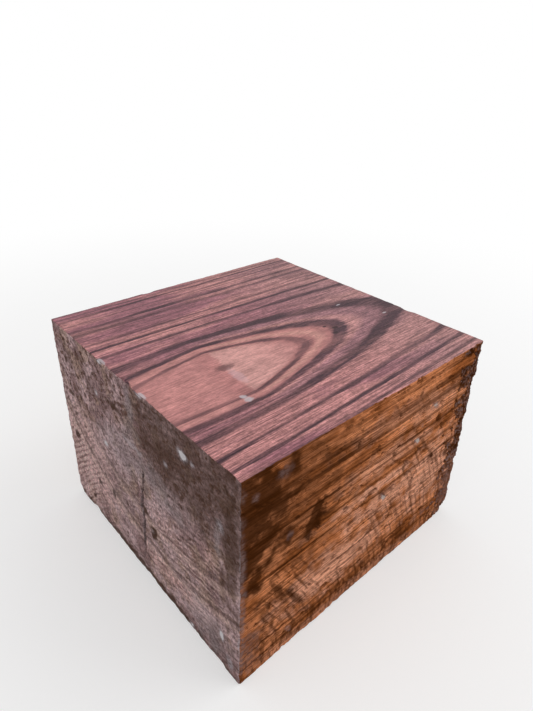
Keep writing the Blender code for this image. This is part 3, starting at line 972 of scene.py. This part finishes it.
def end_base(recipe, place, marks, mottle):
    """Dull mauve wood, tan in places, blotched and shaded high up, with painted shade in the troughs and a
    painted highlight on the crests of the teeth's arcs across it.
    """
    _, y, z = recipe.axes(place)
    sawn = recipe.attribute("sawn")
    patch = recipe.noise(place, (11.0, 11.0, 11.0), 3.0, 0.5)
    base = recipe.mix(recipe.step(patch, 0.38, 0.62), DULL_END, MAUVE_END)
    tan = recipe.step(recipe.noise(place, (8.0, 8.0, 8.0), 3.0), 0.50, 0.62, 0.0, 0.7)
    base = recipe.mix(tan, base, TAN_END)
    base = recipe.mix(recipe.attribute("blush"), base, BLUSH_ON_END)
    blotches = recipe.times(recipe.step(mottle, 0.50, 0.60), recipe.step(z, 25.0, 60.0, 0.45, 0.90))
    base = recipe.mix(blotches, base, BLOTCH_ON_END)
    # Painted shade in the troughs of the teeth's arcs and a painted highlight on their crests, which the
    # relief follows.
    base = recipe.mix(recipe.times(recipe.step(marks, 0.46, 0.32), sawn, 0.66), base, SHADE_IN_TROUGHS)
    base = recipe.mix(recipe.times(recipe.step(marks, 0.55, 0.70), sawn, 0.72), base, HIGHLIGHT_ON_CRESTS)
    shaded = recipe.times(recipe.step(z, 40.0, 56.0), recipe.step(y, 8.0, -14.0), 0.62)
    return recipe.mix(shaded, base, SHADED_END)


def with_arcs(recipe, radius, colour):
    """The colour with the dark arcs laid over it, each with pale wood below it."""
    for height, strength in END_ARCS:
        from_arc = recipe.maths("SUBTRACT", radius, PITH_Z - height)
        dark = recipe.step(recipe.maths("ABSOLUTE", from_arc), *ARC_FADE, 0.0, 0.62 * strength)
        from_pale = recipe.maths("ABSOLUTE", recipe.maths("SUBTRACT", from_arc, PALE_BESIDE_ARC))
        pale = recipe.step(from_pale, *PALE_FADE, 0.0, 0.42 * strength)
        colour = recipe.mix(pale, colour, PALE_BY_ARC)
        colour = recipe.mix(dark, colour, ARC_ON_END)
    return colour


def waxed_end_finish(figure, name):
    """End grain from the saw under wax, with a few dark growth arcs."""
    material, recipe, shader = new_finish(f"waxed end grain {name}")
    place = recipe.place()
    wood = recipe.group(figure)
    mottle = recipe.noise(place, (2.4, 2.4, 2.4), 5.0, 0.66)
    marks = tooth_marks(recipe, place, name)
    base = end_base(recipe, place, marks, mottle)
    colour = recipe.mix(recipe.times(wood["Rings"], 0.45), base, RING_ON_END)
    colour = with_arcs(recipe, wood["Radius"], colour)
    fleck = recipe.noise(place, (0.9, 0.9, 0.9), 3.0, 0.65)
    colour = recipe.shaded(colour, fleck, 0.50)
    # Dirt, and painted shade high on the near end by the front.
    colour = recipe.mix(soaked(recipe, place, (2.2, 2.2, 2.2)), colour, DIRT_AND_SHADE_ON_END)
    colour = under_wax(recipe, fleck, colour, WAX_ON_END, CLOT_ON_END)
    recipe.give(shader.inputs["Base Color"], colour)
    shader.inputs["Roughness"].default_value = END_ROUGHNESS
    shader.inputs["Specular IOR Level"].default_value = END_SPECULAR
    relief = recipe.total(mottle, recipe.times(marks, 0.7), recipe.times(fleck, 0.5))
    add_relief(recipe, shader, relief, END_RELIEF)
    return material


def finish_of(face):
    """Which finish a face of the block has, by where it faces."""
    if face.normal.z > 0.8:
        return "top"
    if abs(face.normal.x) > max(abs(face.normal.y), abs(face.normal.z)):
        return "near_end" if face.normal.x < 0 else "far_end"
    if face.normal.y > 0.5:
        return "back"
    return "front"


def put_on_finishes(block):
    """Gives the block its materials, and tells which number each has."""
    figure = rosewood_figure()
    finishes = {
        "top": planed_finish(figure),
        "front": waxed_side_finish(figure, "front"),
        "back": waxed_side_finish(figure, "back"),
        "near_end": waxed_end_finish(figure, "near_end"),
        "far_end": waxed_end_finish(figure, "far_end"),
    }
    for material in finishes.values():
        block.data.materials.append(material)
    return {name: number for number, name in enumerate(finishes)}


def make_block():
    block = square_block()
    numbers = put_on_finishes(block)
    for face in block.data.polygons:
        face.material_index = numbers[finish_of(face)]
    lean_sides(block)
    lay_on_solid(block)
    roughen(block)
    bpy.ops.object.select_all(action="DESELECT")
    block.select_set(True)
    bpy.ops.object.shade_smooth_by_angle(angle=SMOOTH_ANGLE)
    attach(block, "root")
    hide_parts("turning_blank")


def seen_straight(recipe):
    """1 for what the camera sees, straight or in a gloss or through glass, and 0 for other light."""
    rays = recipe.node("ShaderNodeLightPath").outputs
    mirrored = recipe.maths("MAXIMUM", rays["Is Glossy Ray"], rays["Is Transmission Ray"])
    return recipe.maths("MAXIMUM", rays["Is Camera Ray"], mirrored)


def make_floor():
    """A pale floor that keeps the block's soft shadow and turns pure white further off."""
    bpy.ops.object.select_all(action="DESELECT")
    bpy.ops.mesh.primitive_plane_add(size=FLOOR_SIZE, location=(0, 0, LOW.z - FLOOR_GAP))
    floor = bpy.context.object
    floor.name = "floor"
    material, recipe, shader = new_finish("pale floor")
    shader.inputs["Base Color"].default_value = FLOOR_GREY
    shader.inputs["Roughness"].default_value = FLOOR_ROUGHNESS
    shader.inputs["Specular IOR Level"].default_value = FLOOR_SPECULAR
    seen = seen_straight(recipe)
    shader.inputs["Emission Color"].default_value = WHITE
    recipe.give(shader.inputs["Emission Strength"], recipe.times(seen, FLOOR_GLOW))
    x, y, _ = recipe.axes(recipe.node("ShaderNodeTexCoord").outputs["Object"])
    far_off = recipe.step(recipe.length(x, y), GREY_REACH, WHITE_REACH)
    white = recipe.node("ShaderNodeEmission")
    blend = recipe.node("ShaderNodeMixShader")
    recipe.give(blend.inputs[0], recipe.times(far_off, seen))
    recipe.give(blend.inputs[1], shader.outputs[0])
    recipe.give(blend.inputs[2], white.outputs[0])
    output = material.node_tree.nodes["Material Output"]
    recipe.give(output.inputs["Surface"], blend.outputs[0])
    floor.data.materials.append(material)


def light_scene():
    world = bpy.data.worlds.new("studio")
    bpy.context.scene.world = world
    world.use_nodes = True
    recipe = Recipe(world.node_tree)
    strength = recipe.step(seen_straight(recipe), 0.0, 1.0, SKY_STRENGTH, 1.0)
    background = world.node_tree.nodes["Background"]
    background.inputs["Color"].default_value = WHITE
    recipe.give(background.inputs["Strength"], strength)
    lamp = bpy.data.lights.new("window", "AREA")
    lamp.energy = LAMP_POWER
    lamp.size = LAMP_SIZE
    holder = bpy.data.objects.new("window", lamp)
    holder.location = LAMP_PLACE
    holder.rotation_mode = "QUATERNION"
    holder.rotation_quaternion = (holder.location - Vector(LAMP_AIM)).to_track_quat("Z", "Y")
    bpy.context.scene.collection.objects.link(holder)
    bpy.context.scene.view_settings.view_transform = "Standard"


aim_camera()
make_block()
make_floor()
light_scene()
